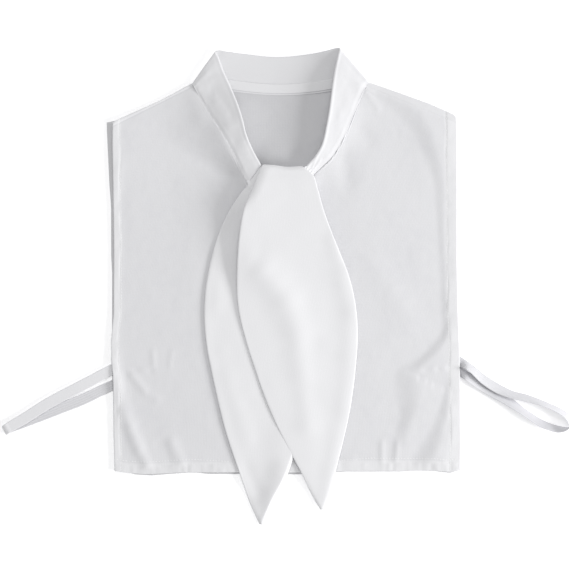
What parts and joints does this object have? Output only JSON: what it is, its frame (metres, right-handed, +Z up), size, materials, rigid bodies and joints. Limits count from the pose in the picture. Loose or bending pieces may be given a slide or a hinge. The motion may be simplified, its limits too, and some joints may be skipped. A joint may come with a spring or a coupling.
{
  "type": "detachable shirt collar with tie ends",
  "caption": "White woven dickey laid flat: front and back bib panels, stand collar, leaf-shaped tie ends in a half knot, and an elastic side loop at each side.",
  "frame": {"origin": "under the middle of the garment, on the table, in the back panel's underside", "axes": "+X to the garment's right as seen from above, +Y towards the collar, +Z up from the table"},
  "size_m": [0.5707, 0.4758, 0.0255],
  "materials": {
    "back_cloth": "matt white plain-weave polyester crepe, inner side",
    "front_cloth": "matt white plain-weave polyester crepe",
    "collar_cloth": "matt white crepe, doubled and lightly stiffened",
    "tie_cloth": "matt white crepe, doubled and soft",
    "elastic_tape": "matt white narrow woven elastic"
  },
  "bodies": {
    "root": {"back_panel": "back_cloth", "front_panel": "front_cloth", "collar_band": "collar_cloth", "tie_tail_under": "tie_cloth", "tie_tail_over": "tie_cloth", "tie_crossing": "tie_cloth", "strap_left": "elastic_tape", "strap_right": "elastic_tape"}
  },
  "joints": []
}
